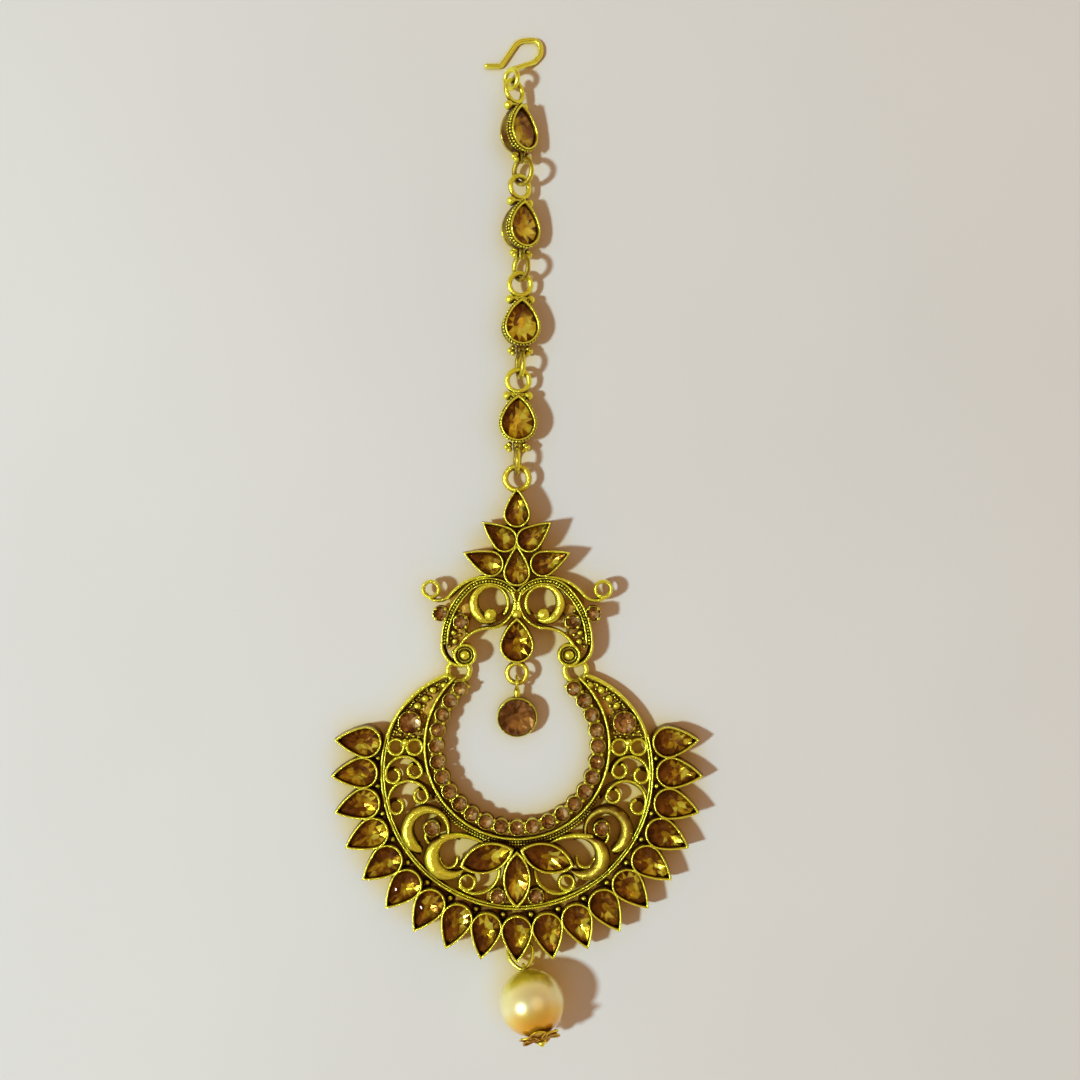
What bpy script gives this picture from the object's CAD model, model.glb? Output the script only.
import bmesh
import bpy
import random
import numpy as np
from math import asin, atan2, cos, degrees, pi, radians, sin, sqrt
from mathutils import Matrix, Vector


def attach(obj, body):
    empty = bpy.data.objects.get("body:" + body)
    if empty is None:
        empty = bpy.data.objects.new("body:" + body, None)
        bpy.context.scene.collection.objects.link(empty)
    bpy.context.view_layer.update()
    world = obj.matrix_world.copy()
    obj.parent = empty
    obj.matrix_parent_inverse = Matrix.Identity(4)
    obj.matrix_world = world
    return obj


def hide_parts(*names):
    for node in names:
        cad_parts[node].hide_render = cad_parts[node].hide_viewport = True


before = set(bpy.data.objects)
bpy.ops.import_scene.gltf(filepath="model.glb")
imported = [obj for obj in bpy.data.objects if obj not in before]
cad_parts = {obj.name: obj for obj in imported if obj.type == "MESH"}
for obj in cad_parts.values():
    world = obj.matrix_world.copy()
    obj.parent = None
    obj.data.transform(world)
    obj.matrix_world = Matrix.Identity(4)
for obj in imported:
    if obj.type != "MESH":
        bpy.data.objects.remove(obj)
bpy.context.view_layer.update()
MM = 0.001
dice = random.Random(11)  # for the size of milgrain beads

# ------------------------------------------------------------------ places, in millimetres
CENTRE_Y = -1.05  # shift along Y that centres the whole on the origin
SIDES = (-1, 1)


class Place:
    """Local axes of one sub-assembly, set in the row frame."""

    def __init__(self, origin, x_axis, z_axis):
        self.origin = np.array(origin, float)
        x = np.array(x_axis, float)
        z = np.array(z_axis, float)
        x /= np.linalg.norm(x)
        z /= np.linalg.norm(z)
        self.axes = np.array([x, np.cross(z, x), z])

    def __call__(self, points):
        return self.origin + np.asarray(points, float) @ self.axes


def sloped(height, y, slope):
    """Place of a flat casting tipped about X, whose base is at height over the line y."""
    a = radians(slope)
    return Place((0, CENTRE_Y, height + y * sin(a) / cos(a)), (1, 0, 0), (0, sin(a), cos(a)))


def link_place(x, y, height, lean, roll):
    """Place of a chain link that leans in the table's plane and is rolled about its length."""
    across = np.array([cos(radians(lean)), sin(radians(lean)), 0])
    up = np.array([0, 0, 1.0])
    c, s = cos(radians(roll)), sin(radians(roll))
    return Place((x, y + CENTRE_Y, height), across * c - up * s, across * s + up * c)


DROP_RING_Y = -17.75
CRESCENT = sloped(0.3, -16.0, 1.6)
CROWN = sloped(1.45, 0, 0)
DROP = sloped(1.85, DROP_RING_Y, -8.0)
ROW = Place((0, CENTRE_Y, 0), (1, 0, 0), (0, 0, 1))
LINKS = [
    link_place(0.25, 50.85, 2.38, 6, 45),
    link_place(0.45, 38.95, 2.16, 1, 35),
    link_place(0.40, 26.85, 1.90, 0, 15),
    link_place(0.05, 14.82, 1.87, -1, 5),
]
PEARL_R = 4.0
TURN, DIP = radians(15.5), radians(25.3)  # of the pearl's hole
PEARL = Place(
    (1.9, -56.85 + CENTRE_Y, PEARL_R),
    (cos(TURN), sin(TURN), 0),
    (-sin(TURN) * cos(DIP), cos(TURN) * cos(DIP), -sin(DIP)),
)


# ------------------------------------------------------------------ mesh building
class Piece:
    """Several shapes joined in one mesh; each face has a tone that its material reads."""

    def __init__(self):
        self.verts = []
        self.faces = []
        self.tones = []
        self.slots = []
        self.count = 0

    def add(self, place, verts, faces, tones=None, slots=None):
        self.verts.append(place(verts))
        self.faces += [tuple(i + self.count for i in face) for face in faces]
        self.tones += list(tones) if tones is not None else [0.5] * len(faces)
        self.slots += list(slots) if slots is not None else [0] * len(faces)
        self.count += len(verts)

    def build(self, name, materials, nodes=(), smooth=True, sharp=None):
        mesh = bpy.data.meshes.new(name)
        mesh.from_pydata((np.concatenate(self.verts) * MM).tolist(), [], self.faces)
        mesh.polygons.foreach_set("use_smooth", [smooth] * len(mesh.polygons))
        tone = mesh.attributes.new("tone", "FLOAT", "FACE")
        tone.data.foreach_set("value", self.tones)
        mesh.update()
        if sharp is not None:
            mesh.set_sharp_from_angle(angle=radians(sharp))
        materials = materials if isinstance(materials, tuple) else (materials,)
        for material in materials:
            mesh.materials.append(material)
        mesh.polygons.foreach_set("material_index", self.slots)
        obj = bpy.data.objects.new(name, mesh)
        bpy.context.scene.collection.objects.link(obj)
        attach(obj, "root")
        if nodes:
            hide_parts(*nodes)


def rings_to_faces(rings, sides, closed_ring=True, closed_path=False):
    """Quads between rows of points."""
    faces = []
    rows = rings if closed_path else rings - 1
    columns = sides if closed_ring else sides - 1
    for i in range(rows):
        a, b = i * sides, ((i + 1) % rings) * sides
        for j in range(columns):
            k = (j + 1) % sides
            faces.append((a + j, a + k, b + k, b + j))
    return faces


def tube(piece, place, path, radius, closed=False, sides=10, up=(0, 0, 1), flat=1.0):
    """Round wire along a path; its radius may change along the way. Open ends are rounded."""
    path = np.asarray(path, float)
    radius = np.broadcast_to(np.asarray(radius, float), (len(path),))
    if not closed:
        start, end = path[0] - path[1], path[-1] - path[-2]
        start /= np.linalg.norm(start)
        end /= np.linalg.norm(end)
        steps = [radians(a) for a in (84, 60, 30)]
        head = [path[0] + start * radius[0] * sin(a) for a in steps]
        tail = [path[-1] + end * radius[-1] * sin(a) for a in reversed(steps)]
        path = np.array([*head, *path, *tail])
        head_r = [radius[0] * cos(a) for a in steps]
        tail_r = [radius[-1] * cos(a) for a in reversed(steps)]
        radius = np.array([*head_r, *radius, *tail_r])
    if closed:
        tangent = np.roll(path, -1, 0) - np.roll(path, 1, 0)
    else:
        tangent = np.gradient(path, axis=0)
    tangent /= np.linalg.norm(tangent, axis=1)[:, None]
    side = np.cross(tangent, np.array(up, float))
    side /= np.linalg.norm(side, axis=1)[:, None]
    rise = np.cross(side, tangent)
    turns = np.linspace(0, 2 * pi, sides, endpoint=False)
    verts = (
        path[:, None, :]
        + radius[:, None, None] * np.cos(turns)[None, :, None] * side[:, None, :]
        + flat * radius[:, None, None] * np.sin(turns)[None, :, None] * rise[:, None, :]
    ).reshape(-1, 3)
    faces = rings_to_faces(len(path), sides, True, closed)
    crest = np.clip(np.sin(turns + pi / sides), 0, 1) ** 0.7
    rub = 0.28 + 0.45 * crest if flat > 1.4 else 0.32 + 0.3 * crest
    tones = list(np.tile(rub, len(faces) // sides))
    if not closed:
        last = (len(path) - 1) * sides
        faces.append(tuple(reversed(range(sides))))
        faces.append(tuple(last + j for j in range(sides)))
        tones += [0.4, 0.4]
    piece.add(place, verts, faces, tones)


def ring_path(centre, radius, count=40, start=0.0, sweep=360.0):
    """Points on a flat circle or arc; centre is (x, y, z)."""
    full = abs(sweep) >= 360
    turns = np.radians(np.linspace(start, start + sweep, count, endpoint=not full))
    x, y, z = centre
    return np.stack([x + radius * np.cos(turns), y + radius * np.sin(turns), np.full(count, z)], 1)


def hoop(piece, place, centre, radius, wire, axis="z", count=40, sides=10, flat=1.0):
    """Closed wire ring whose axis is local Z or X."""
    path, up = ring_path((0, 0, 0), radius, count), (0, 0, 1)
    if axis == "x":
        path, up = path[:, [2, 0, 1]], (1, 0, 0)
    tube(piece, place, path + np.array(centre, float), wire, True, sides, up, flat)


def ball(piece, place, centre, radius, rows=6, columns=9, flat=1.0):
    """Sphere, flattened along local Z by flat."""
    angles = np.linspace(0, pi, rows + 1)[1:-1]
    turns = np.linspace(0, 2 * pi, columns, endpoint=False)
    verts = [(0, 0, flat)]
    for a in angles:
        verts += [(sin(a) * cos(t), sin(a) * sin(t), flat * cos(a)) for t in turns]
    verts.append((0, 0, -flat))
    rings = len(angles)
    faces = [(0, 1 + j, 1 + (j + 1) % columns) for j in range(columns)]
    for i in range(rings - 1):
        a, b = 1 + i * columns, 1 + (i + 1) * columns
        faces += [(a + j, b + j, b + (j + 1) % columns, a + (j + 1) % columns) for j in range(columns)]
    end, a = len(verts) - 1, 1 + (rings - 1) * columns
    faces += [(a + (j + 1) % columns, a + j, end) for j in range(columns)]
    piece.add(place, np.array(verts) * radius + np.array(centre, float), faces)


def along_path(path):
    """Distance along a path from its first point to each point."""
    steps = np.linalg.norm(np.diff(path, axis=0), axis=1)
    return np.concatenate([[0], np.cumsum(steps)])


def beads(piece, place, path, radius, spacing, closed=False):
    """Row of fine grains along a path."""
    if closed:
        path = np.vstack([path, path[:1]])
    along = along_path(path)
    count = max(2, int(round(along[-1] / spacing)))
    marks = np.linspace(0, along[-1], count, endpoint=not closed)
    for mark in marks:
        centre = [np.interp(mark, along, path[:, k]) for k in range(3)]
        size = radius * dice.uniform(0.9, 1.08)
        ball(piece, place, centre, size, 5, 7)


# ------------------------------------------------------------------ outlines
BULGE = 0.3  # sine of the angle by which a pear's sides lean out where they leave its round end


def pear_outline(radius, tip, offset=0.0, side_points=11, end_points=18):
    """Pear outline drawn out by offset: round end about the origin, point at (0, tip)."""
    radius, tip = radius + offset, tip + 1.75 * offset
    reach = (tip**2 - radius**2) / (2 * (radius - tip * BULGE))
    rise = asin(BULGE)
    cx, cy, big = -reach * cos(rise), -reach * sin(rise), reach + radius
    high = atan2(tip - cy, -cx)
    shares = np.linspace(0, 1, side_points + 1)
    right = [(cx + big * cos(rise + s * (high - rise)), cy + big * sin(rise + s * (high - rise))) for s in shares]
    left = [(-x, y) for x, y in reversed(right[:-1])]
    turns = np.linspace(pi - rise, 2 * pi + rise, end_points + 1)[1:-1]
    end = [(radius * cos(t), radius * sin(t)) for t in turns]
    return np.array(right + left + end)


def marquise_outline(half_length, half_width, offset=0.0, points=16):
    """Boat outline along X, drawn out by offset."""
    half_length, half_width = half_length + 1.9 * offset, half_width + offset
    big = (half_length**2 + half_width**2) / (2 * half_width)
    low = asin((big - half_width) / big)
    turns = np.linspace(low, pi - low, points + 1)
    top = [(big * cos(t), big * sin(t) - big + half_width) for t in turns]
    return np.array(top[:-1] + [(-x, -y) for x, y in top[:-1]])


def circle_outline(radius, offset=0.0, points=24):
    turns = np.linspace(0, 2 * pi, points, endpoint=False)
    return np.stack([np.cos(turns), np.sin(turns)], 1) * (radius + offset)


def turned(points, x, y, direction):
    """2-D points turned by direction, in degrees, and moved."""
    a = radians(direction)
    rot = np.array([[cos(a), sin(a)], [-sin(a), cos(a)]])
    return points @ rot + np.array([x, y])


def band(piece, place, outline, spot, profile, close_bottom=False):
    """Closed wall that follows an outline; profile is a list of (offset, height)."""
    rings = []
    for offset, height in profile:
        flat = turned(outline(offset), *spot)
        rings.append(np.column_stack([flat, np.full(len(flat), height)]))
    sides = len(rings[0])
    faces = rings_to_faces(len(rings), sides)
    heights = np.array([height for _, height in profile])
    below_lip = heights.max() - (heights[:-1] + heights[1:]) / 2
    tones = list(np.repeat(np.interp(below_lip, [0.06, 0.4, 1.2], [0.72, 0.36, 0.22]), sides))
    if close_bottom:
        faces.append(tuple(reversed(range(sides))))
        tones.append(0.3)
    piece.add(place, np.concatenate(rings), faces, tones)


def bezel_profile(base, top, skirt=0.2):
    """Section of a cast bezel: flared skirt, thin rounded lip and inner face."""
    return [
        (skirt, base), (skirt * 0.8, base + 0.2), (skirt * 0.35, base + 0.6 * (top - base)), (0.0, top - 0.34),
        (0.0, top - 0.2), (0.025, top - 0.1), (0.01, top - 0.01), (-0.05, top + 0.05), (-0.12, top + 0.05),
        (-0.18, top - 0.01), (-0.205, top - 0.12), (-0.22, top - 0.35), (-0.26, top - 0.9), (-0.27, top - 1.25),
    ]


# ------------------------------------------------------------------ stones
TABLE_SHARE = 0.5  # width of a stone's flat top against its girdle
STONE_INSET = 0.29  # from a bezel's outline to its stone's


def cut_stone(piece, place, outer, spot, base, depth, seed, shade=1.0):
    """Faceted stone: a clear crown (slot 0) over a foiled back (slot 1) whose facets differ in tone."""
    rng = random.Random(seed)
    n = len(outer)
    centre = (outer.max(0) + outer.min(0)) / 2
    closed = np.vstack([outer, outer[:1]])
    middle = (closed[:-1] + closed[1:]) / 2

    def ring(points, scale, share):
        flat = centre + (points - centre) * scale
        return np.column_stack([turned(flat, *spot), np.full(len(flat), base + depth * share)])

    def uneven(points, scale, share, play, dip):
        row = ring(points, scale, share)
        spread = np.array([[rng.uniform(-play, play), rng.uniform(-play, play), rng.uniform(-dip, dip)] for _ in row])
        return row + spread * min(np.ptp(outer, axis=0))

    rows = [
        uneven(outer, 0.26, 0.04, 0.045, 0.006), uneven(middle, 0.62, 0.24, 0.06, 0.03),
        ring(outer, 1.0, 0.46), ring(outer, 1.0, 0.52), ring(middle, 0.9, 0.78),
        ring(outer, TABLE_SHARE + 0.08, 0.97), ring(middle, TABLE_SHARE, 1.0),
    ]
    verts = np.concatenate(rows)
    at = [i * n for i in range(len(rows))]
    faces, tones, slots = [], [], []
    bright_side = radians(rng.uniform(-110, 30))
    heart = turned(centre[None, :], *spot)[0]
    drawn = {}

    def put(face, slot, low=0.0, high=1.0, pair=None):
        """Adds a facet whose tone lies between low and high; facets of one pair share the number drawn for it."""
        key = len(faces) if pair is None else pair
        drawn.setdefault(key, rng.random() ** 1.1)
        x, y = verts[list(face), :2].mean(0) - heart
        side = 0.5 + 0.5 * cos(atan2(y, x) - bright_side)
        faces.append(face)
        slots.append(slot)
        tones.append(shade * (0.4 + 0.85 * side) * (low + (high - low) * drawn[key]))

    # every facet draws a number, also where its pair already has one
    for j in range(n):
        k = (j + 1) % n
        put((at[0] + j, at[0] + k, at[1] + j), 1, 0.2, 1.0, ("heart", j // 2))
        put((at[0] + k, at[1] + k, at[1] + j), 1, 0.2, 1.0, ("heart", (j + 1) // 2))
        put((at[1] + j, at[1] + k, at[2] + k), 1, 0.0, 1.0, ("flank", j // 2))
        put((at[1] + j, at[2] + k, at[2] + j), 1, 0.0, 0.6)
        put((at[2] + j, at[2] + k, at[3] + k, at[3] + j), 0)
        put((at[3] + j, at[3] + k, at[4] + j), 0)
        put((at[3] + k, at[4] + k, at[4] + j), 0)
        put((at[4] + j, at[4] + k, at[5] + k), 0)
        put((at[4] + j, at[5] + k, at[5] + j), 0)
        put((at[5] + j, at[5] + k, at[6] + j), 0)
        put((at[5] + k, at[6] + k, at[6] + j), 0)
    faces += [tuple(reversed(range(n))), tuple(at[6] + j for j in range(n))]
    tones += [0.5 * shade, 0.5]
    slots += [1, 0]
    piece.add(place, verts, faces, tones, slots)


def few_corners(full, count=14):
    """The same outline with only a few corners, for the stone's facets."""
    closed = np.vstack([full, full[:1]])
    along = along_path(closed)
    marks = np.linspace(0, along[-1], count, endpoint=False)
    return np.stack([np.interp(marks, along, closed[:, k]) for k in range(2)], 1)


# ------------------------------------------------------------------ materials
def new_material(name):
    material = bpy.data.materials.new(name)
    material.use_nodes = True
    tree = material.node_tree
    return material, tree, tree.nodes["Principled BSDF"]


def fill(made, values):
    """Sets a node's sockets by name, and where it has no such socket, its properties."""
    for key, value in values.items():
        if key in made.inputs:
            made.inputs[key].default_value = value
        else:
            setattr(made, key, value)


def node(tree, kind, **values):
    made = tree.nodes.new(kind)
    fill(made, values)
    return made


def noise(tree, where, **values):
    """Noise texture over the object's own coordinates."""
    made = node(tree, "ShaderNodeTexNoise", **values)
    tree.links.new(where.outputs["Object"], made.inputs["Vector"])
    return made.outputs["Fac"]


def maths(tree, operation, source, second, third=None):
    """Math node on a source and a fixed number, with a third source where the operation takes one."""
    made = node(tree, "ShaderNodeMath", operation=operation)
    tree.links.new(source, made.inputs[0])
    made.inputs[1].default_value = second
    if third is not None:
        tree.links.new(third, made.inputs[2])
    return made.outputs[0]


def relief(tree, shader, source, strength, height):
    """Bump on the shader's normal; height is in millimetres."""
    bump = node(tree, "ShaderNodeBump", Strength=strength, Distance=height * MM)
    tree.links.new(source, bump.inputs["Height"])
    tree.links.new(bump.outputs["Normal"], shader.inputs["Normal"])


def ramp(tree, source, stops):
    made = tree.nodes.new("ShaderNodeValToRGB")
    elements = made.color_ramp.elements
    while len(elements) < len(stops):
        elements.new(0.5)
    for element, (position, colour) in zip(elements, stops):
        element.position = position
        element.color = (*colour, 1)
    tree.links.new(source, made.inputs[0])
    return made.outputs[0]


def metal(name, bright, dark, roughness, reach, cast, wear):
    """Gilt metal with a dark patina in its recesses, over reach in millimetres.

    cast is the depth of the cast skin's relief; wear is how far a face's tone rubs the patina off."""
    material, tree, shader = new_material(name)
    shader.inputs["Metallic"].default_value = 0.92
    where = node(tree, "ShaderNodeTexCoord")
    shade = node(tree, "ShaderNodeAmbientOcclusion", samples=6, Distance=reach * MM)
    grain = noise(tree, where, Scale=900.0, Detail=3.0, Roughness=0.6)
    worn = maths(tree, "MULTIPLY_ADD", grain, 0.5, shade.outputs["AO"])
    if wear:
        crest = node(tree, "ShaderNodeAttribute", attribute_name="tone")
        rubbed = maths(tree, "MULTIPLY_ADD", crest.outputs["Fac"], wear, worn)
        worn = maths(tree, "SUBTRACT", rubbed, 0.5 * wear + 0.12)
    blotch = noise(tree, where, Scale=330.0, Detail=2.0)
    stained = maths(tree, "MULTIPLY_ADD", blotch, 0.64, worn)
    worn = maths(tree, "SUBTRACT", stained, 0.32)
    mid = tuple(s * (0.42 * b + 0.58 * d) for s, b, d in zip((1.0, 0.8, 1.0), bright, dark))
    colour = ramp(tree, worn, [(0.52, dark), (0.82, mid), (1.0, bright)])
    tree.links.new(colour, shader.inputs["Base Color"])
    rough = node(tree, "ShaderNodeMapRange")
    fill(rough, {"From Min": 0.5, "From Max": 1.1, "To Min": 0.55, "To Max": roughness})
    tree.links.new(worn, rough.inputs["Value"])
    tree.links.new(rough.outputs[0], shader.inputs["Roughness"])
    pits = noise(tree, where, Scale=2200.0, Detail=4.0, Roughness=0.65)
    waves = noise(tree, where, Scale=420.0, Detail=2.0)
    relief(tree, shader, maths(tree, "MULTIPLY_ADD", waves, 1.2, pits), cast, 0.11)
    return material


def glass(name, tint):
    """Clear tinted crown of a stone; part of the light goes straight through to the foil."""
    material, tree, shader = new_material(name)
    fill(shader, {"Base Color": (*tint, 1), "Transmission Weight": 1.0, "Roughness": 0.0, "IOR": 1.56})
    through = node(tree, "ShaderNodeBsdfTransparent", Color=(*tint, 1))
    both = node(tree, "ShaderNodeMixShader")
    both.inputs[0].default_value = 0.45
    tree.links.new(through.outputs[0], both.inputs[1])
    tree.links.new(shader.outputs[0], both.inputs[2])
    tree.links.new(both.outputs[0], tree.nodes["Material Output"].inputs["Surface"])
    return material


def foil(name, stops):
    """Metal foil behind a stone, seen through the glass; each facet has its own tone."""
    material, tree, shader = new_material(name)
    facet = node(tree, "ShaderNodeAttribute", attribute_name="tone")
    glint = noise(tree, node(tree, "ShaderNodeTexCoord"), Scale=1400.0, Detail=2.0)
    varied = maths(tree, "MULTIPLY_ADD", glint, 0.7, facet.outputs["Fac"])
    colour = ramp(tree, maths(tree, "SUBTRACT", varied, 0.33), stops)
    tree.links.new(colour, shader.inputs["Base Color"])
    relief(tree, shader, glint, 0.3, 0.05)
    fill(shader, {"Metallic": 0.6, "Roughness": 0.13})
    return material


GOLD = metal("gilt_casting", (0.93, 0.92, 0.08), (0.12, 0.042, 0.005), 0.26, 0.75, 1.0, 1.7)
PATINA = metal("dark_casting", (0.66, 0.42, 0.06), (0.13, 0.05, 0.006), 0.42, 1.0, 0.8, 0)
WIRE = metal("gilt_wire", (0.93, 0.92, 0.1), (0.15, 0.06, 0.008), 0.24, 0.5, 0.3, 0)
WORN = metal("worn_wire", (0.93, 0.78, 0.05), (0.3, 0.1, 0.004), 0.24, 0.5, 0.5, 1.5)
AMBER = (
    glass("amber_crown", (0.98, 0.91, 0.5)),
    foil("amber_foil", [
        (0.0, (0.08, 0.02, 0.003)), (0.4, (0.27, 0.1, 0.01)), (0.7, (0.8, 0.6, 0.05)), (1.0, (1.0, 1.0, 0.26)),
    ]),
)
CHAMPAGNE = (
    glass("champagne_crown", (0.97, 0.86, 0.68)),
    foil("champagne_foil", [
        (0.0, (0.11, 0.04, 0.008)), (0.5, (0.62, 0.35, 0.11)), (1.0, (1.0, 0.95, 0.7)),
    ]),
)


def pearl_material():
    """Imitation pearl, whose lacquer is deeper in colour toward both ends of its hole."""
    material, tree, shader = new_material("nacre")
    link = tree.links.new
    where = node(tree, "ShaderNodeTexCoord")
    drift = noise(tree, where, Scale=130.0, Detail=2.0)
    from_middle = node(tree, "ShaderNodeVectorMath", operation="SUBTRACT")
    link(where.outputs["Object"], from_middle.inputs[0])
    from_middle.inputs[1].default_value = (PEARL.origin * MM).tolist()
    along = node(tree, "ShaderNodeVectorMath", operation="DOT_PRODUCT")
    link(from_middle.outputs["Vector"], along.inputs[0])
    along.inputs[1].default_value = (PEARL.axes[2] / (2 * PEARL_R * MM)).tolist()
    share = maths(tree, "ADD", along.outputs["Value"], 0.43)
    body = ramp(tree, maths(tree, "MULTIPLY_ADD", drift, 0.14, share), [
        (0.0, (0.56, 0.26, 0.01)), (0.14, (0.88, 0.46, 0.03)), (0.27, (0.94, 0.66, 0.12)), (0.42, (0.96, 0.86, 0.42)),
        (0.66, (0.93, 0.83, 0.34)), (0.8, (0.84, 0.7, 0.06)), (1.0, (0.68, 0.56, 0.005)),
    ])
    relief(tree, shader, drift, 0.04, 0.05)
    link(body, shader.inputs["Base Color"])
    fill(shader, {
        "Metallic": 0.55, "Roughness": 0.28, "Coat Weight": 0.6, "Coat Roughness": 0.17,
        "Subsurface Weight": 0.2, "Subsurface Radius": (0.002, 0.0012, 0.0006),
    })
    return material


NACRE = pearl_material()


def back_plate(name, node_name, place, height):
    """Flat back of a casting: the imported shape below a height, with everything above it left to finer pieces."""
    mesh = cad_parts[node_name].data.copy()
    mesh.name = name
    shape = bmesh.new()
    shape.from_mesh(mesh)
    bmesh.ops.remove_doubles(shape, verts=shape.verts, dist=1e-7)
    up = Vector(place.axes[2])
    level = Vector(place([(0, 0, height)])[0] * MM)
    everything = shape.verts[:] + shape.edges[:] + shape.faces[:]
    bmesh.ops.bisect_plane(shape, geom=everything, dist=1e-8, plane_co=level, plane_no=up, clear_outer=True)
    shape.to_mesh(mesh)
    shape.free()
    mesh.polygons.foreach_set("use_smooth", [True] * len(mesh.polygons))
    mesh.set_sharp_from_angle(angle=radians(35))
    mesh.materials.clear()
    mesh.materials.append(PATINA)
    plate = bpy.data.objects.new(name, mesh)
    bpy.context.scene.collection.objects.link(plate)
    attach(plate, "root")
    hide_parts(node_name)


back_plate("crescent_back", "crescent", CRESCENT, 0.7)
back_plate("crown_back", "crown", CROWN, 0.7)


def arc3(start, middle, end, count=24):
    """Points on the arc through three flat points."""
    (ax, ay), (bx, by), (cx, cy) = start, middle, end
    d = 2 * (ax * (by - cy) + bx * (cy - ay) + cx * (ay - by))
    ux = ((ax**2 + ay**2) * (by - cy) + (bx**2 + by**2) * (cy - ay) + (cx**2 + cy**2) * (ay - by)) / d
    uy = ((ax**2 + ay**2) * (cx - bx) + (bx**2 + by**2) * (ax - cx) + (cx**2 + cy**2) * (bx - ax)) / d
    radius = sqrt((ax - ux) ** 2 + (ay - uy) ** 2)
    a, b, c = (atan2(y - uy, x - ux) for x, y in (start, middle, end))
    forward = (c - a) % (2 * pi)
    if (b - a) % (2 * pi) > forward:
        forward -= 2 * pi
    turns = a + np.linspace(0, forward, count)
    return np.stack([ux + radius * np.cos(turns), uy + radius * np.sin(turns)], 1)


def lifted(flat, height):
    return np.column_stack([flat, np.full(len(flat), height)])


def mirrored(flat, side):
    return flat * np.array([side, 1.0])


def sideways(flat, distance):
    """The same path moved to its left by distance."""
    tangent = np.gradient(flat, axis=0)
    tangent /= np.linalg.norm(tangent, axis=1)[:, None]
    return flat + distance * np.column_stack([-tangent[:, 1], tangent[:, 0]])


def curled(outer, top, inner, radius):
    """C-scroll of wire: a curl about outer, an arch over top and a curl about inner."""
    first = ring_path((*outer, 0), radius, 26, 112, 240)[:, :2]
    last = ring_path((*inner, 0), radius, 26, 188, 236)[:, :2]
    return np.vstack([first, arc3(first[-1], top, last[0], 20)[1:-1], last])


def domed_scroll(piece, place, side, centre, radius, hole, hole_radius, start, end, crest):
    """Cast C-scroll between two off-centre circles: thick and domed in its middle, thin at its ends."""
    count, across = 60, 13
    turns = np.radians(np.linspace(start, end, count))
    share = np.linspace(0, 1, count)
    taper = 0.3 + 0.7 * np.clip(np.minimum(share, 1 - share) * 7, 0, 1) ** 0.6
    offset = np.array(hole) - np.array(centre)
    rows = []
    for turn, ease in zip(turns, taper):
        u = np.array([cos(turn), sin(turn)])
        dot = offset @ u
        inner = dot + sqrt(max(0.0, hole_radius**2 - offset @ offset + dot * dot))
        half = max(0.1, (radius - inner) / 2 + 0.02) * ease + 0.02
        mid = (radius + inner) / 2
        row = [(mid - half * 0.97, 0.02)]
        for angle in np.linspace(pi, 0, across - 2):
            row.append((mid + half * cos(angle), 0.95 + (0.28 + 0.85 * half) * sin(angle)))
        row.append((mid + half * 0.97, 0.02))
        for distance, height in row:
            x, y = np.array(centre) + u * distance
            rows.append((side * x, y, height))
    faces = rings_to_faces(count, across, closed_ring=False)
    tones = [0.05 + crest * sin(pi * (face[0] % across / across) ** 0.7) ** 2 for face in faces] + [0.3, 0.3]
    last = (count - 1) * across
    faces.append(tuple(range(across)))
    faces.append(tuple(last + j for j in range(across)))
    piece.add(place, np.array(rows), faces, tones)


def cup_grains(piece, place, x, y, radius, height, size, count):
    """Prong grains round a cup's stone."""
    for k in range(count):
        angle = 2 * pi * (k + 0.5) / count
        ball(piece, place, (x + radius * cos(angle), y + radius * sin(angle), height), size)


# ------------------------------------------------------------------ crescent
PETAL_Y, PETAL_CIRCLE, PETAL_R, PETAL_TIP = -29.125, 19.29, 1.94, 3.88
PETAL_COUNT, PETAL_STEP = 19, 11.36  # degrees from one petal to the next
ARCH_Y, RAIL = -25.6, 11.56
RIM_Y, RIM, RIM_END_Y = -28.85, 16.85, -24.25
RIM_COUNT, RIM_CIRCLE, RIM_STEP = 25, 10.12, 11.3


def round_arch(radius, step):
    """Point on a circle about the arch, step rim stones from the lowest one."""
    angle = radians(270 + step * RIM_STEP)
    return radius * cos(angle), ARCH_Y + radius * sin(angle)


PETALS = []
for number in range(PETAL_COUNT):
    swing = (number - PETAL_COUNT // 2) * PETAL_STEP
    angle = radians(270 + swing)
    PETALS.append((PETAL_CIRCLE * cos(angle), PETAL_Y + PETAL_CIRCLE * sin(angle), 270 + swing * 0.92))
RIM_STONES = [round_arch(RIM_CIRCLE, n - RIM_COUNT // 2) for n in range(RIM_COUNT)]
MARQUISES = [(-3.75, -39.4, 17, 3.45, 1.8), (0, -42.05, 90, 3.5, 1.68), (3.75, -39.4, -17, 3.45, 1.8)]
HORN_CUPS = [(s * 13.45, -22.65) for s in SIDES]
SCROLL_CUPS = [(s * 10.6, -35.8) for s in SIDES] + [(s * 2.37, -44.2) for s in SIDES]
LARGE_CUPS = [(spot, 1.45) for spot in HORN_CUPS] + [(spot, 1.02) for spot in SCROLL_CUPS]
BEZEL_TOP, LACE_Z, MILGRAIN_Z = 2.1, 0.6, 0.78
SMALL_CUP, CUP_WALL = 0.98, 0.08
CUP_PROFILE = [
    (0.06, 0.1), (0.02, 0.9), (-0.01, 1.45), (0.0, 1.6), (-0.02, 1.67), (-0.05, 1.68),
    (-CUP_WALL, 1.62), (-CUP_WALL - 0.01, 1.45), (-CUP_WALL - 0.02, 0.8),
]


def petal(offset=0.0):
    return pear_outline(PETAL_R, PETAL_TIP, offset)


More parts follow.
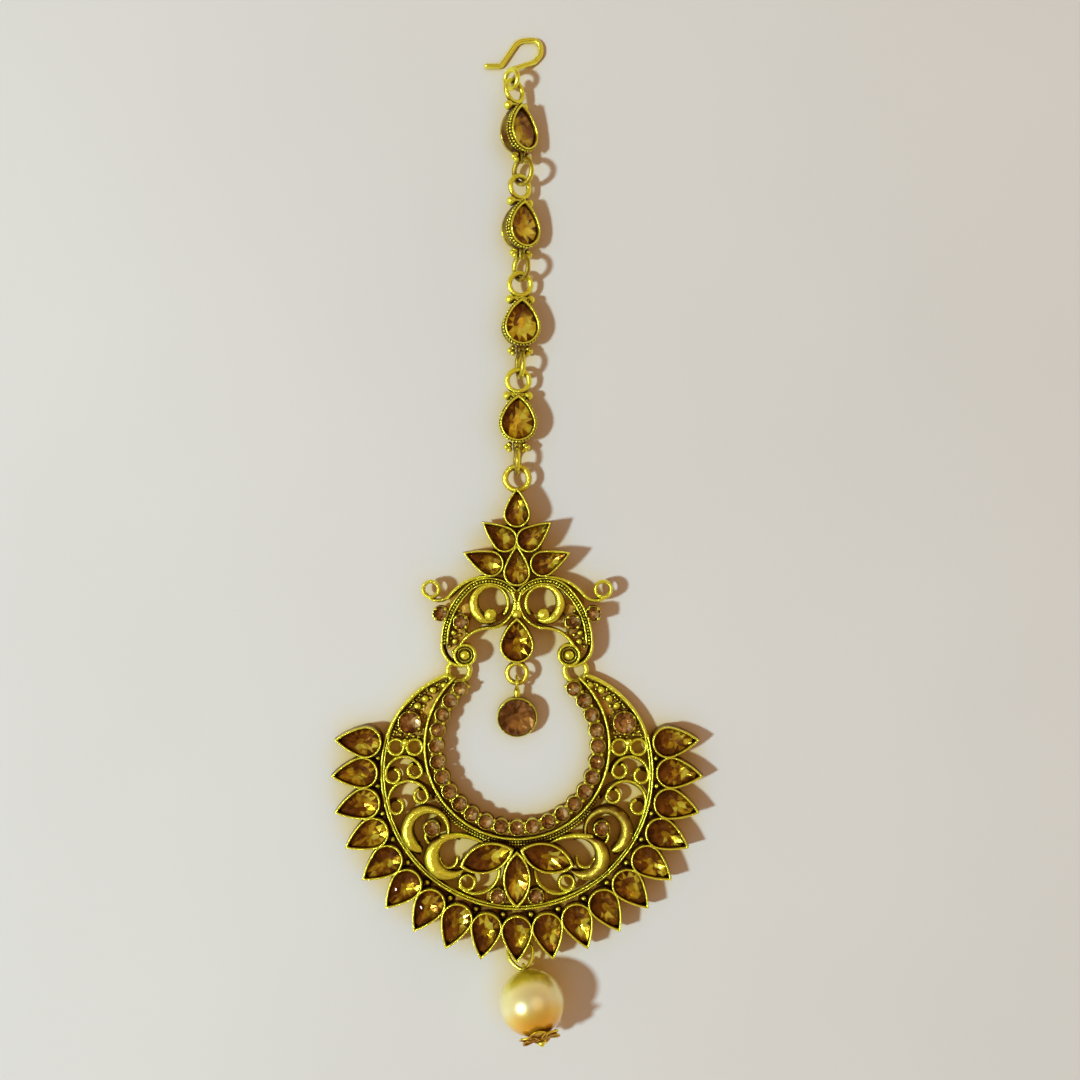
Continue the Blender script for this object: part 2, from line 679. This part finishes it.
bezels = Piece()
for x, y, direction in PETALS:
    band(bezels, CRESCENT, petal, (x, y, direction - 90), bezel_profile(0.0, BEZEL_TOP, 0.16))
for x, y, direction, length, width in MARQUISES:
    band(bezels, CRESCENT, lambda o: marquise_outline(length, width, o), (x, y, direction),
         bezel_profile(0.3, BEZEL_TOP, 0.12))
bezels.build("crescent_bezels", GOLD, sharp=50)

wires = Piece()
for radius, wire, top in ((RIM + 0.12, 0.19, 1.45), (RIM - 0.2, 0.15, 1.36)):
    low = degrees(asin((RIM_END_Y - RIM_Y) / radius))
    path = ring_path((0, RIM_Y, top / 2), radius, 110, low, -180 - 2 * low)
    tube(wires, CRESCENT, path, wire, flat=top / 2 / wire)
HALF_RAIL = 0.75  # half the height of the rail and of the horns' edge
rail = ring_path((0, ARCH_Y, HALF_RAIL), RAIL, 110, 47, -274)
tube(wires, CRESCENT, rail, 0.24, flat=HALF_RAIL / 0.24)
HORN = arc3((16.25, -24.4), (13.75, -20.1), (8.7, -16.75), 30)
for side in SIDES:
    tube(wires, CRESCENT, lifted(mirrored(HORN, side), HALF_RAIL), 0.29, flat=HALF_RAIL / 0.29)
    hoop(wires, CRESCENT, (side * 7.35, -16.2, 0.65), 1.375, 0.335)
    for x, y, radius in ((15.2, -25.75, 0.975), (12.85, -25.75, 0.975), (6.2, -42.6, 0.925)):
        hoop(wires, CRESCENT, (side * x, y, LACE_Z), radius, 0.23, flat=2.6)
    for start, middle, end in (
        ((7.2, -43.1), (4.6, -43.95), (2.2, -41.0)),
        ((11.3, -36.3), (11.2, -37.5), (10.1, -37.9)),
        ((9.7, -39.6), (8.9, -40.75), (7.45, -39.5)),
    ):
        path = lifted(mirrored(arc3(start, middle, end), side), LACE_Z)
        tube(wires, CRESCENT, path, 0.24, flat=2.5)
    for outer, top, inner in (
        ((15.6, -29.35), (14.15, -26.95), (12.8, -28.7)), ((15.15, -33.2), (13.35, -30.0), (12.0, -31.85)),
    ):
        path = curled(outer, top, inner, 0.875)
        tube(wires, CRESCENT, lifted(mirrored(path, side), LACE_Z), 0.23, flat=2.6)
    path = lifted(mirrored(arc3((9.3, -37.0), (7.2, -36.8), (4.3, -37.65)), side), 0.85)
    tube(wires, CRESCENT, path, np.linspace(0.5, 0.16, len(path)), flat=1.5)
hoop(wires, ROW, (0, -50.12, 0.8), 0.6, 0.19, "x", 28)
wires.build("crescent_wires", GOLD)

scrolls = Piece()
for side in SIDES:
    crest = 0.38 - 0.09 * side
    domed_scroll(scrolls, CRESCENT, side, (11.4, -36.15), 3.15, (10.9, -36.05), 2.05, 192, -80, crest)
    domed_scroll(scrolls, CRESCENT, side, (8.85, -39.5), 2.8, (7.8, -39.15), 1.95, 128, -155, crest)
scrolls.build("crescent_scrolls", GOLD, sharp=50)

cups = Piece()
for (x, y), cup in [(spot, SMALL_CUP) for spot in RIM_STONES] + LARGE_CUPS:
    band(cups, CRESCENT, lambda o: circle_outline(cup, o), (x, y, 0), CUP_PROFILE)
cups.build("crescent_cups", GOLD, sharp=50)

grains = Piece()
# prong grains in pairs between the small stones, and round each of the larger ones
for n in range(RIM_COUNT + 1):
    for distance in (-0.52, 0.52):
        spot = round_arch(RIM_CIRCLE + distance, n - RIM_COUNT / 2)
        ball(grains, CRESCENT, (*spot, 1.62), 0.2)
for (x, y), cup in LARGE_CUPS:
    cup_grains(grains, CRESCENT, x, y, cup - CUP_WALL, 1.68, 0.17, 6 if cup > 1.2 else 4)
# milgrain inside the horns' edge, and in a double row under the rail
for side in SIDES:
    inner = sideways(HORN, 0.62)
    beads(grains, CRESCENT, lifted(mirrored(inner, side), MILGRAIN_Z), 0.2, 0.42)
for radius, low, high in ((RAIL + 0.42, 212, 328), (RAIL + 0.76, 222, 318)):
    path = ring_path((0, ARCH_Y, MILGRAIN_Z), radius, 90, low, high - low)
    beads(grains, CRESCENT, path, 0.18, 0.37)
# plain balls of the casting
for side in SIDES:
    for x, y, radius in (
        (10.56, -18.6, 0.52), (11.55, -19.7, 0.52), (12.5, -20.6, 0.52), (9.15, -18.0, 0.47), (14.0, -25.2, 0.57),
    ):
        ball(grains, CRESCENT, (side * x, y, 0.87), radius, 9, 14)
    # granulation over the dark horn plate
    for x, y, radius in (
        (10.0, -17.9, 0.25), (10.35, -17.55, 0.22), (11.3, -18.5, 0.26), (12.2, -19.2, 0.22), (10.9, -19.6, 0.24),
        (9.9, -18.5, 0.22), (11.7, -20.6, 0.27), (13.1, -19.9, 0.22), (13.4, -20.7, 0.25), (12.1, -21.4, 0.25),
        (11.6, -22.0, 0.22), (11.9, -22.9, 0.24), (12.2, -23.9, 0.22), (11.7, -23.5, 0.2), (14.9, -21.9, 0.22),
        (15.2, -23.0, 0.25), (15.1, -23.9, 0.22), (13.0, -24.4, 0.24), (13.8, -24.5, 0.2), (14.6, -24.2, 0.25),
        (12.4, -24.5, 0.2), (12.9, -21.2, 0.2), (14.2, -21.2, 0.22),
    ):
        ball(grains, CRESCENT, (side * x, y, 0.7), radius)
# balls between the round ends of neighbouring petals
BALL_CIRCLE = PETAL_CIRCLE - 1.74
for number in range(1, PETAL_COUNT):
    swing = radians(270 + (number - PETAL_COUNT / 2) * PETAL_STEP)
    spot = (BALL_CIRCLE * cos(swing), PETAL_Y + BALL_CIRCLE * sin(swing), 0.95)
    ball(grains, CRESCENT, spot, 0.36, 8, 12)
grains.build("crescent_grains", GOLD)

# ------------------------------------------------------------------ crown
CROWN_PEARS = [
    (0, 3.44, 90, 1.62, 3.25), (-1.5, 0.3, 142, 1.58, 3.5), (1.5, 0.3, 38, 1.58, 3.5),
    (-3.25, -2.7, 158, 1.6, 3.65), (3.25, -2.7, 22, 1.6, 3.65), (0, -3.8, 90, 1.65, 3.4),
    (0, -12.9, 90, 2.06, 3.5),
]
CROWN_CUP_SPOTS = ((9.5, -8.9), (6.95, -9.95))
CROWN_CUPS = [(s * x, y) for x, y in CROWN_CUP_SPOTS for s in SIDES]
SPIRAL = (6.5, -14.1)

crown_bezels = Piece()
for x, y, direction, radius, tip in CROWN_PEARS:
    band(crown_bezels, CROWN, lambda o: pear_outline(radius, tip, o), (x, y, direction - 90),
         bezel_profile(0.0, BEZEL_TOP, 0.12))
crown_bezels.build("crown_bezels", GOLD, sharp=50)

crown_wires = Piece()
frame_path = np.vstack([
    arc3((0.4, -6.3), (3.4, -4.85), (6.6, -6.4))[:-1],
    arc3((6.6, -6.4), (8.5, -9.6), (9.0, -12.6)),
])
for side in SIDES:
    for distance in (0.34, -0.34):
        path = lifted(mirrored(sideways(frame_path, distance), side), 0.72)
        tube(crown_wires, CROWN, path, 0.18, flat=4)
    for start, middle, end in (
        ((9.34, -12.6), (8.55, -14.75), (6.5, -15.45)), ((0.25, -7.4), (1.2, -9.7), (3.0, -10.7)),
        ((3.0, -10.7), (5.3, -11.15), (7.0, -12.8)), ((0.2, -8.6), (0.25, -7.2), (0.9, -5.8)),
        ((3.6, -4.3), (6.7, -5.2), (8.3, -6.6)), ((8.3, -6.6), (9.9, -7.3), (11.4, -6.5)),
    ):
        path = lifted(mirrored(arc3(start, middle, end), side), 0.7)
        tube(crown_wires, CROWN, path, 0.24, flat=2.9)
    hoop(crown_wires, CROWN, (side * 10.75, -5.9, 0.7), 0.975, 0.26, flat=2.7)
    hoop(crown_wires, CROWN, (side * SPIRAL[0], SPIRAL[1], 0.72), 1.275, 0.23, flat=3)
    hoop(crown_wires, CROWN, (side * SPIRAL[0], SPIRAL[1], 0.8), 0.88, 0.1, sides=8)
    hoop(crown_wires, ROW, (side * 7.05, -14.87, 0.95), 0.7, 0.235, "x", 28)
hoop(crown_wires, CROWN, (0, 7.95, 0.4), 1.475, 0.385)
hoop(crown_wires, CROWN, (0, -16.4, 0.4), 1.225, 0.335)
crown_wires.build("crown_wires", GOLD)

crown_scrolls = Piece()
for side in SIDES:
    domed_scroll(crown_scrolls, CROWN, side, (3.45, -7.75), 2.6, (3.1, -7.45), 1.75, 215, -112, 0.5)
    ball(crown_scrolls, CROWN, (side * 3.3, -9.0, 1.62), 0.79, 9, 16, 0.75)
ball(crown_scrolls, CROWN, (0, -9.0, 1.25), 0.63, 9, 16, 0.8)
crown_scrolls.build("crown_scrolls", GOLD, sharp=50)

crown_cups = Piece()
for x, y in CROWN_CUPS:
    band(crown_cups, CROWN, lambda o: circle_outline(SMALL_CUP, o), (x, y, 0), CUP_PROFILE)
crown_cups.build("crown_cups", GOLD, sharp=50)

crown_grains = Piece()
for side in SIDES:
    beads(crown_grains, CROWN, lifted(mirrored(frame_path, side), 1.3), 0.18, 0.38)
    ball(crown_grains, CROWN, (side * SPIRAL[0], SPIRAL[1], 0.9), 0.67, 10, 16)
    for x, y, radius in ((7.9, -11.3, 0.44), (7.75, -12.4, 0.44)):
        ball(crown_grains, CROWN, (side * x, y, 0.75), radius, 8, 12)
    for x, y in CROWN_CUP_SPOTS:
        cup_grains(crown_grains, CROWN, side * x, y, 0.86, 1.74, 0.2, 4)
    for x, y, radius in (
        (7.2, -8.6, 0.25), (7.8, -8.3, 0.22), (7.4, -7.9, 0.2), (8.1, -9.4, 0.24), (8.35, -10.4, 0.24),
        (7.1, -11.6, 0.26), (6.8, -12.3, 0.2), (7.3, -13.1, 0.24), (8.3, -12.0, 0.24), (8.4, -13.0, 0.22),
        (8.0, -13.7, 0.22), (6.2, -11.4, 0.22), (7.9, -10.3, 0.2), (2.2, -4.9, 0.24), (2.8, -4.5, 0.2),
        (1.9, -1.2, 0.24), (1.7, -2.0, 0.2), (0.6, 1.4, 0.22), (1.2, -5.3, 0.2), (2.6, -0.9, 0.2),
    ):
        ball(crown_grains, CROWN, (side * x, y, 0.75), radius)
crown_grains.build("crown_grains", GOLD)

# ------------------------------------------------------------------ chain links
LINK_R, LINK_TIP = 2.2, 3.5
LINK_WIRE, RING_Y, RING_R, LOOP_Y, LOOP_R = 0.325, 5.35, 1.375, -4.65, 1.525


def link_pear(offset=0.0):
    return pear_outline(LINK_R, LINK_TIP, offset)


for number, place in enumerate(LINKS, start=1):
    link_piece = Piece()
    band(link_piece, place, link_pear, (0, 0, 0), bezel_profile(-1.1, 1.2, 0.0), close_bottom=True)
    floor = link_pear(-0.25)
    link_piece.add(place, lifted(floor, 0.2), [tuple(range(len(floor)))])
    tube(link_piece, place, lifted(link_pear(-0.06), -0.98), 0.09, True, 8)
    beads(link_piece, place, lifted(link_pear(0.1), 0.84), 0.19, 0.4, True)
    beads(link_piece, place, lifted(link_pear(0.05), 0.3), 0.15, 0.36, True)
    for side in SIDES:
        ball(link_piece, place, (side * 1.3, 3.45, 0), 0.6, 10, 16)
        for x, y in ((0.95, -2.65), (1.3, -2.95), (0.95, -3.25)):
            ball(link_piece, place, (side * x, y, 0), 0.38, 8, 12)
    tube(link_piece, place, [(-1.2, LINK_TIP, 0), (0, LINK_TIP + 0.05, 0), (1.2, LINK_TIP, 0)], 0.36)
    tube(link_piece, place, [(0, -2.0, 0), (0, -2.6, 0), (0, -3.2, 0)], 0.5, up=(1, 0, 0))
    hoop(link_piece, place, (0, RING_Y, 0), RING_R, LINK_WIRE, count=44, sides=12)
    hoop(link_piece, place, (0, LOOP_Y, 0), LOOP_R, LINK_WIRE, "x", 44, 12)
    link_piece.build(f"chain_link_{number}", GOLD, [f"link_{number}"], sharp=50)

# ------------------------------------------------------------------ stones
GEM_BASE, GEM_DEPTH = 0.84, 1.12
PETAL_CUT = few_corners(petal(-STONE_INSET))
for number, (x, y, direction) in enumerate(PETALS, start=1):
    gem = Piece()
    cut_stone(gem, CRESCENT, PETAL_CUT, (x, y, direction - 90), GEM_BASE, GEM_DEPTH, 100 + number)
    gem.build(f"petal_gem_{number:02d}", AMBER, [f"petal_stone_{number:02d}"], smooth=False)
for number, (x, y, direction, length, width) in enumerate(MARQUISES, start=1):
    gem = Piece()
    cut = few_corners(marquise_outline(length, width, -STONE_INSET))
    cut_stone(gem, CRESCENT, cut, (x, y, direction), GEM_BASE, GEM_DEPTH, 200 + number)
    gem.build(f"marquise_gem_{number}", AMBER, [f"marquise_stone_{number}"], smooth=False)
for number, (x, y, direction, radius, tip) in enumerate(CROWN_PEARS, start=1):
    gem = Piece()
    cut = few_corners(pear_outline(radius, tip, -STONE_INSET))
    cut_stone(gem, CROWN, cut, (x, y, direction - 90), GEM_BASE, GEM_DEPTH, 300 + number)
    gem.build(f"crown_gem_{number}", AMBER, [f"crown_stone_{number}"], smooth=False)
LINK_CUT = few_corners(link_pear(-STONE_INSET))
for number, place in enumerate(LINKS, start=1):
    gem = Piece()
    cut_stone(gem, place, LINK_CUT, (0, 0, 0), 0.22, 0.98, 400 + number, 1.3)
    gem.build(f"link_gem_{number}", AMBER, [f"link_stone_{number}"], smooth=False)


def round_field(name, node_name, place, spots, seed):
    """Round stones that make up one field; each spot is (x, y, radius, corners)."""
    gems = Piece()
    for index, (x, y, radius, corners) in enumerate(spots):
        cut_stone(gems, place, circle_outline(radius, 0, corners), (x, y, 137.5 * index), 0.8, 0.88, seed + index)
    gems.build(name, CHAMPAGNE, [node_name], smooth=False)


round_field("rim_gems", "rim_stones", CRESCENT, [(x, y, 0.89, 10) for x, y in RIM_STONES], 500)
round_field("crown_round_gems", "crown_round_stones", CROWN, [(x, y, 0.88, 10) for x, y in CROWN_CUPS], 550)
spots = [(x, y, 0.93, 10) for x, y in SCROLL_CUPS] + [(x, y, 1.36, 12) for x, y in HORN_CUPS]
round_field("scroll_gems", "scroll_stones", CRESCENT, spots, 580)

# ------------------------------------------------------------------ drop
DROP_Y, DROP_R = -22.1, 2.5
drop = Piece()
profile = [
    (-2.49, -0.85), (-0.5, -0.85), (-0.1, -0.78), (0.0, -0.6), (0.0, 0.45), (0.02, 0.6), (-0.02, 0.72),
    (-0.07, 0.74), (-0.12, 0.7), (-0.16, 0.6), (-0.17, 0.5), (-0.18, 0.1), (-2.49, 0.08),
]
band(drop, DROP, lambda o: circle_outline(DROP_R, o, 56), (0, DROP_Y, 0), profile)
hoop(drop, DROP, (0, DROP_RING_Y, 0), 0.77, 0.225, "x", 32)
tube(drop, DROP, [(0, -18.5, 0), (0, -18.9, 0), (0, -19.3, 0), (0, -19.7, 0)], [0.3, 0.42, 0.4, 0.44],
     up=(1, 0, 0), sides=14)
for k in range(4):
    angle = pi * (2 * k + 1) / 4
    ball(drop, DROP, (2.36 * cos(angle), DROP_Y + 2.36 * sin(angle), 0.72), 0.16, 7, 10, 0.8)
drop.build("drop_cup", GOLD, ["drop_setting"], sharp=50)
gem = Piece()
cut_stone(gem, DROP, circle_outline(DROP_R - 0.2, 0, 18), (0, DROP_Y, 5), 0.15, GEM_DEPTH, 700, 0.44)
gem.build("drop_gem", CHAMPAGNE, ["drop_stone"], smooth=False)

# ------------------------------------------------------------------ hook
HOOK_R, EYE_R = 0.325, 1.12
top = LINKS[0]
EYE = Place(top([(0, RING_Y + RING_R + 0.3, -0.3)])[0], top.axes[1], top.axes[0])
FLAT = Place((0, CENTRE_Y, 1.05 * HOOK_R), (1, 0, 0), (0, 0, 1))
ROUTE = [(2.2, 60.6), (3.0, 61.5), (3.05, 63.45), (0.1, 63.25), (-2.05, 60.1), (-3.85, 60.1)]
BENDS = [1.05, 1.15, 1.6, 0.4]


def filleted(points, radii, per_bend=9):
    """Flat path with rounded corners."""
    points = [np.array(p, float) for p in points]
    out = [points[0]]
    for before, corner, after, radius in zip(points[:-2], points[1:-1], points[2:], radii):
        a = (before - corner) / np.linalg.norm(before - corner)
        b = (after - corner) / np.linalg.norm(after - corner)
        half = np.arccos(np.clip(a @ b, -1, 1)) / 2
        reach = radius / np.tan(half)
        middle = corner + (a + b) / np.linalg.norm(a + b) * radius / sin(half)
        start, end = corner + a * reach, corner + b * reach
        first = atan2(*(start - middle)[::-1])
        sweep = (atan2(*(end - middle)[::-1]) - first + pi) % (2 * pi) - pi
        for step in np.linspace(0, 1, per_bend):
            angle = first + sweep * step
            out.append(middle + radius * np.array([cos(angle), sin(angle)]))
    out.append(points[-1])
    return np.array(out)


hook = Piece()
hoop(hook, EYE, (0, 0, 0), EYE_R, HOOK_R, sides=12)
bend_start = FLAT([(*ROUTE[0], 0)])[0]
eye_top = EYE([(EYE_R, 0, 0)])[0]
WORLD = Place((0, 0, 0), (1, 0, 0), (0, 0, 1))
flat_part = FLAT(lifted(filleted(ROUTE, BENDS), 0))
tube(hook, WORLD, np.linspace(eye_top, bend_start, 8), HOOK_R, sides=12, up=(1, 0, 0.2))
tube(hook, WORLD, flat_part, HOOK_R, sides=12)
ball(hook, WORLD, bend_start, 1.05 * HOOK_R, 9, 12)
hook.build("hook_wire", WIRE, ["hook"])

# ------------------------------------------------------------------ pearl, pin and cap
pearl = Piece()
ball(pearl, PEARL, (0, 0, 0), PEARL_R, 48, 72)
pearl.build("pearl_ball", NACRE, ["pearl"])

pin = Piece()
loop = pear_outline(1.56, 2.2)
tube(pin, PEARL, np.column_stack([loop[:, 0], np.zeros(len(loop)), 6.17 - loop[:, 1]]), 0.24, True, 12, (0, 1, 0))
tube(pin, PEARL, [(0, 0, 4.61), (0, 0, 0), (0, 0, -4.7)], 0.23, up=(1, 0, 0))
hoop(pin, PEARL, (0, 0, 4.08), 0.34, 0.13, count=24, sides=8)
ball(pin, PEARL, (0, 0, -4.85), 0.42, 10, 16)
pin.build("pin_wire", WIRE, ["pearl_pin"])

PETAL_ROWS, PETAL_COLUMNS, CAP_SHEET = 12, 9, 0.1


def on_shell(radius, x, y):
    """Point over (x, y) on a sphere about the pearl's centre, at the cap's end."""
    return (x, y, -sqrt(max(0.01, radius**2 - x * x - y * y)))


cap = Piece()
upward = PEARL.axes[:2, 2]
petal_faces = rings_to_faces(PETAL_ROWS, PETAL_COLUMNS, closed_ring=False)
tones = [0.1 + 0.4 * (face[0] // PETAL_COLUMNS / (PETAL_ROWS - 1)) ** 1.5 for face in petal_faces]
for k in range(6):
    turn = pi * (2 * k + 1) / 6
    # petals on the upper side hug the pearl, those next to the table flare
    up = float(upward @ np.array([cos(turn), sin(turn)]))
    length, flare = 2.0 + 0.1 * up, 0.5 - 0.39 * up
    grid = []
    for share in np.linspace(0, 1, PETAL_ROWS):
        x = 0.45 + length * share
        half = 1.05 * sin(pi * min(1.0, 0.16 + 0.8 * share)) ** 0.55 * (0.35 + 0.65 * min(1.0, x / 1.2))
        for across in np.linspace(-1, 1, PETAL_COLUMNS):
            y = half * across
            radius = 4.2 + flare * share**2 + 0.14 * across**2
            grid.append(on_shell(radius, x * cos(turn) - y * sin(turn), x * sin(turn) + y * cos(turn)))
    under = np.array(grid)
    cap.add(PEARL, under, [tuple(reversed(face)) for face in petal_faces], tones)
    cap.add(PEARL, under - np.array([0, 0, CAP_SHEET]), petal_faces, tones)
    edge = np.concatenate([under[::PETAL_COLUMNS], under[PETAL_COLUMNS - 1 :: PETAL_COLUMNS][::-1]])
    tube(cap, PEARL, edge - np.array([0, 0, CAP_SHEET / 2]), 0.13, True, 8)
hub = [
    on_shell(4.4 + 0.1 * (1 - radius), radius * cos(t), radius * sin(t))
    for radius in (0.3, 0.7, 0.95, 1.05) for t in np.linspace(0, 2 * pi, 24, endpoint=False)
]
hub_faces = rings_to_faces(4, 24)
cap.add(PEARL, np.array(hub), hub_faces, [0.15] * len(hub_faces))
hoop(cap, PEARL, (0, 0, -4.46), 0.46, 0.12, count=24, sides=8)
cap.build("cap_petals", WORN, ["pearl_cap"])

# ------------------------------------------------------------------ table, light and camera
FLOOR_HALF = 3.0  # metres
corners = [(x * FLOOR_HALF, y * FLOOR_HALF, 0) for x, y in ((-1, -1), (1, -1), (1, 1), (-1, 1))]
floor_mesh = bpy.data.meshes.new("table_top")
floor_mesh.from_pydata(corners, [], [(0, 1, 2, 3)])
table = bpy.data.objects.new("table_top", floor_mesh)
bpy.context.scene.collection.objects.link(table)
paper, tree, shader = new_material("pale_table")
where = node(tree, "ShaderNodeTexCoord")
cloud = noise(tree, where, Scale=14.0, Detail=3.0)
tint = ramp(tree, cloud, [(0.3, (0.70, 0.675, 0.64)), (0.7, (0.735, 0.71, 0.675))])
# warmer where the jewel lies close over it, in place of the gold light that the metal throws
near = node(tree, "ShaderNodeAmbientOcclusion", samples=6, Distance=4.0 * MM)
open_sky = node(tree, "ShaderNodeMapRange")
fill(open_sky, {"From Min": 0.25, "From Max": 0.9})
tree.links.new(near.outputs["AO"], open_sky.inputs["Value"])
warmed = node(tree, "ShaderNodeMix", data_type="RGBA")
mix_share, warm, plain, mixed = warmed.inputs[0], warmed.inputs[6], warmed.inputs[7], warmed.outputs[2]
warm.default_value = (0.78, 0.51, 0.05, 1)
tree.links.new(open_sky.outputs[0], mix_share)
tree.links.new(tint, plain)
tree.links.new(mixed, shader.inputs["Base Color"])
shader.inputs["Roughness"].default_value = 0.75
relief(tree, shader, noise(tree, where, Scale=900.0, Detail=4.0), 0.08, 0.1)
floor_mesh.materials.append(paper)


LAMP_DISTANCE = 0.9  # metres


def lamp(name, direction, size, power, colour):
    """Soft area lamp that looks at the middle of the table; direction is (azimuth, elevation)."""
    data = bpy.data.lights.new(name, "AREA")
    data.shape = "DISK"
    data.size = size
    data.energy = power
    data.color = colour
    made = bpy.data.objects.new(name, data)
    azimuth, elevation = (radians(v) for v in direction)
    spot = np.array([cos(azimuth) * cos(elevation), sin(azimuth) * cos(elevation), sin(elevation)])
    made.location = (spot * LAMP_DISTANCE).tolist()
    made.rotation_euler = (radians(90) - elevation, 0, azimuth + radians(90))
    bpy.context.scene.collection.objects.link(made)


lamp("key_lamp", (192.5, 51), 0.085, 7.2, (0.67, 0.92, 1.03))
lamp("fill_lamp", (35, 68), 0.75, 0.7, (1.0, 0.78, 0.55))

world = bpy.data.worlds.new("studio")
bpy.context.scene.world = world
world.use_nodes = True
tree = world.node_tree
sky = node(tree, "ShaderNodeTexCoord")
split = node(tree, "ShaderNodeSeparateXYZ")
tree.links.new(sky.outputs["Generated"], split.inputs[0])
dome = ramp(tree, split.outputs["Z"], [
    (0.0, (1.0, 0.86, 0.74)), (0.3, (0.8, 0.55, 0.38)), (0.6, (0.52, 0.28, 0.155)), (1.0, (0.35, 0.19, 0.1)),
])
background = tree.nodes["Background"]
tree.links.new(dome, background.inputs["Color"])
background.inputs["Strength"].default_value = 0.75

camera_data = bpy.data.cameras.new("photo_camera")
camera_data.sensor_width = 36
camera_data.lens = 42.67
camera_data.clip_start = 0.005
camera_data.clip_end = 5
camera = bpy.data.objects.new("photo_camera", camera_data)
camera.location = (2.875 * MM, -0.80 * MM, 162 * MM)
bpy.context.scene.collection.objects.link(camera)
bpy.context.scene.camera = camera
bpy.context.scene.view_settings.view_transform = "Standard"
